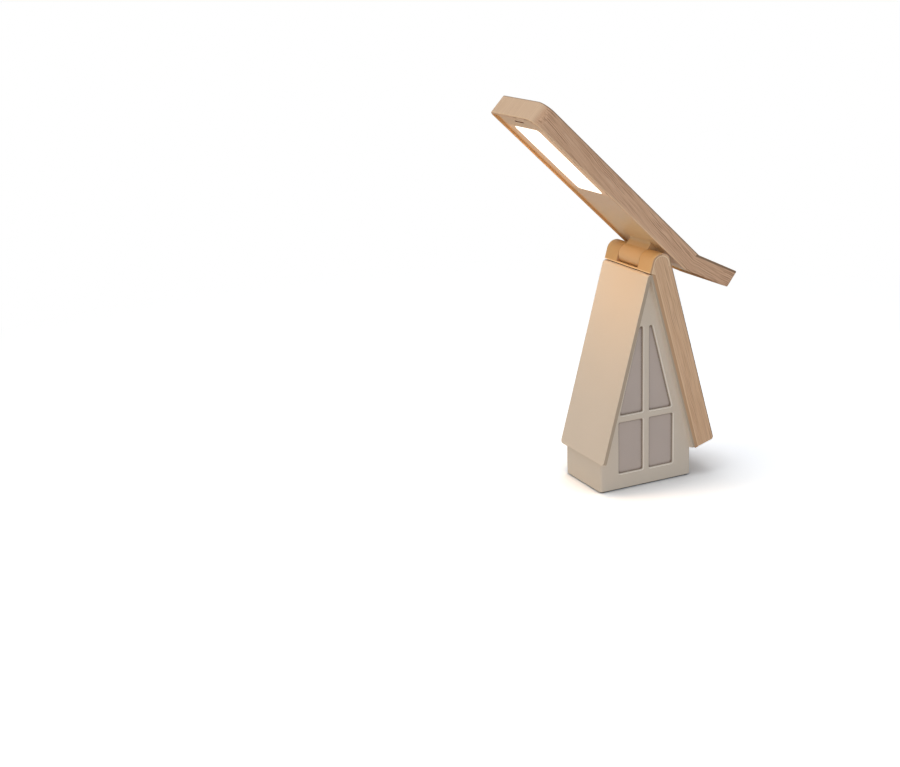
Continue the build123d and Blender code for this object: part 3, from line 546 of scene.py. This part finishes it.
cream = house_plastic("cream_plastic", srgb(223, 213, 200))
tan = slab_plastic("tan_plastic", srgb(226, 187, 133), srgb(204, 169, 118))
plate_tan = lit_plate("plate_plastic", srgb(222, 188, 154), srgb(222, 188, 142))
button_cream = plastic("button_plastic", srgb(218, 206, 190), 0.6).material
inner_plastic = plastic("inner_plastic", srgb(70, 68, 66)).material
pale_plastic = plastic("acetal", srgb(226, 224, 218), 0.5).material
board = plastic("board", srgb(34, 84, 50), 0.5).material
cell_sleeve = plastic("cell_sleeve", srgb(60, 96, 150), 0.4).material
dark_window = rubber("dark_window", srgb(130, 60, 26))
diffuser = frosted("window_frost", srgb(204, 192, 186), srgb(128, 112, 98))
light_pipe = frosted("light_pipe", srgb(222, 222, 216))
diodes = frosted("diodes", srgb(240, 220, 140))
lens = lit_lens("lit_lens")
steel = metal("plated_steel", srgb(176, 174, 170), 0.35)
ballast = metal("rolled_steel", srgb(96, 94, 92), 0.5)
pad = rubber("pad_rubber", srgb(48, 44, 40))
arm_wood = wood(
    "arm_wood",
    slant=0.09,
    lines=0.62,
    tones=(srgb(219, 179, 147), srgb(229, 189, 157)),
    straight=(ARM_AXIS, ARM_UP, ARM_KINK, WOOD_UNDER, ARM_TOP),
    bent=(LEG_AXIS, LEG_UP, ARM_KINK, WOOD_UNDER, LEG_TOP),
)
slab_wood = wood(
    "slab_wood",
    slant=0.03,
    lines=0.32,
    tones=(srgb(224, 185, 150), srgb(234, 197, 161)),
    straight=(SLAB_AXIS, SLAB_UP, PIVOT, SLAB_UNDER, SLAB_TOP),
    head_radius=HEAD_RADIUS,
)

finishes = {
    "house_shell": cream, "rear_cover": cream, "base_plate": cream, "slab_core": tan,
    "arm_underplate": plate_tan, "power_button": button_cream, "window_diffuser": diffuser,
    "arm_lens": lens, "arm_shell": arm_wood, "slab_shell": slab_wood, "base_pad": pad,
    "ballast_plate": ballast, "base_screws": steel, "board_screws": steel, "slab_screws": steel,
    "hinge_pin": steel, "friction_washers": steel, "disc_springs": steel,
    "charging_socket": steel, "knuckle_bush": pale_plastic, "battery_cell": cell_sleeve,
    "battery_cradle": inner_plastic, "push_switch": inner_plastic, "switch_plunger": inner_plastic,
    "main_board": board, "glow_board": board, "led_board": board, "glow_leds": diodes,
    "arm_leds": diodes, "sensor_window": dark_window, "charge_light_pipe": light_pipe,
}
for node, material in finishes.items():
    mesh_object = frame["nodes"][node]
    if not mesh_object.material_slots:
        mesh_object.data.materials.append(material)
    for slot in mesh_object.material_slots:
        slot.material = material


# Floor, world, lights and camera

def floor():
    """A grey floor that the camera sees nearly white, shaded only round what stands on it, there
    with a painted contact shadow besides the lights' own shadows.
    """
    bpy.ops.mesh.primitive_plane_add(size=FLOOR_SIZE)
    plane = bpy.context.object
    plane.name = "floor"
    paint = Paint("floor")
    fine = paint.noise(paint.place, 60)
    base = paint.ramp(fine, [(0.3, (0.79, 0.79, 0.79, 1)), (0.7, (0.81, 0.81, 0.81, 1))])
    paint.finish(base, 0.9, Specular_IOR_Level=0.1)
    seen = paint.add("ShaderNodeLightPath").outputs["Is Camera Ray"]
    # Painted contact shadow: the floor seen by the camera darkens where something stands within
    # the contact reach.
    level = paint.spread(paint.openness(CONTACT_REACH), 0.5, 0.95, 1.0, 1.72)
    bright = paint.add("ShaderNodeBsdfDiffuse")
    tone = paint.combine(paint.times(level, 0.96), level, paint.times(level, 1.05))
    paint.link(tone, bright.inputs["Color"])
    lifted = paint.mix_shader(seen, paint.shader.outputs["BSDF"], bright.outputs["BSDF"])
    far = paint.spread(paint.length(paint.place), 0.3, 0.8, smooth=True)
    white = paint.add("ShaderNodeEmission").outputs["Emission"]
    shown = paint.mix_shader(paint.times(far, seen), lifted, white)
    paint.link(shown, paint.out.inputs["Surface"])
    plane.data.materials.append(paint.material)


def world():
    """White for the camera, weaker as a light on the part."""
    scene_world = bpy.data.worlds.new("studio")
    scene_world.use_nodes = True
    tree = scene_world.node_tree
    tree.nodes.clear()
    out = tree.nodes.new("ShaderNodeOutputWorld")
    background = tree.nodes.new("ShaderNodeBackground")
    path = tree.nodes.new("ShaderNodeLightPath")
    mix = tree.nodes.new("ShaderNodeMix")
    mix.data_type = "FLOAT"
    mix.inputs["A"].default_value = WORLD_LIGHT
    mix.inputs["B"].default_value = WORLD_SEEN
    tree.links.new(path.outputs["Is Camera Ray"], mix.inputs["Factor"])
    tree.links.new(mix.outputs["Result"], background.inputs["Strength"])
    background.inputs["Color"].default_value = (1, 1, 1, 1)
    tree.links.new(background.outputs["Background"], out.inputs["Surface"])
    bpy.context.scene.world = scene_world


def placed(name, data, place, turn):
    """A new object in the scene at a place, turned by a quaternion."""
    made = bpy.data.objects.new(name, data)
    bpy.context.collection.objects.link(made)
    made.location = place
    made.rotation_mode = "QUATERNION"
    made.rotation_quaternion = turn
    return made


def area_data(name, shape, size, power, colour):
    data = bpy.data.lights.new(name, "AREA")
    data.shape = shape
    data.size = size
    data.energy = power
    data.color = colour
    return data


def lens_light():
    """What the lens sheds: a light just under it that moves with the arm."""
    data = area_data("lens_light", "RECTANGLE", LENS_LENGTH, LENS_POWER, LENS_COLOUR)
    data.size_y = LENS_WIDTH
    turn = Matrix((ARM_AXIS, -ACROSS, ARM_UP)).transposed().to_quaternion()
    lamp = placed("lens_light", data, LENS_CENTRE - ARM_UP * LENS_LIGHT_GAP, turn)
    lamp.visible_camera = False
    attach(lamp, "arm")


def area_light(name, place, aim, size, power, colour):
    turn = (Vector(aim) - Vector(place)).to_track_quat("-Z", "Y")
    placed(name, area_data(name, "DISK", size, power, colour), place, turn)


def camera():
    data = bpy.data.cameras.new("camera")
    data.sensor_width = 36
    data.lens = CAMERA_LENS
    data.shift_x = CAMERA_SHIFT
    data.clip_start = 0.05
    data.clip_end = 20
    turn = Vector(CAMERA_FORWARD).to_track_quat("-Z", "Y")
    bpy.context.scene.camera = placed("camera", data, CAMERA_PLACE, turn)


floor()
world()
for light in AREA_LIGHTS:
    area_light(*light)
lens_light()
camera()
bpy.context.scene.view_settings.view_transform = "Standard"
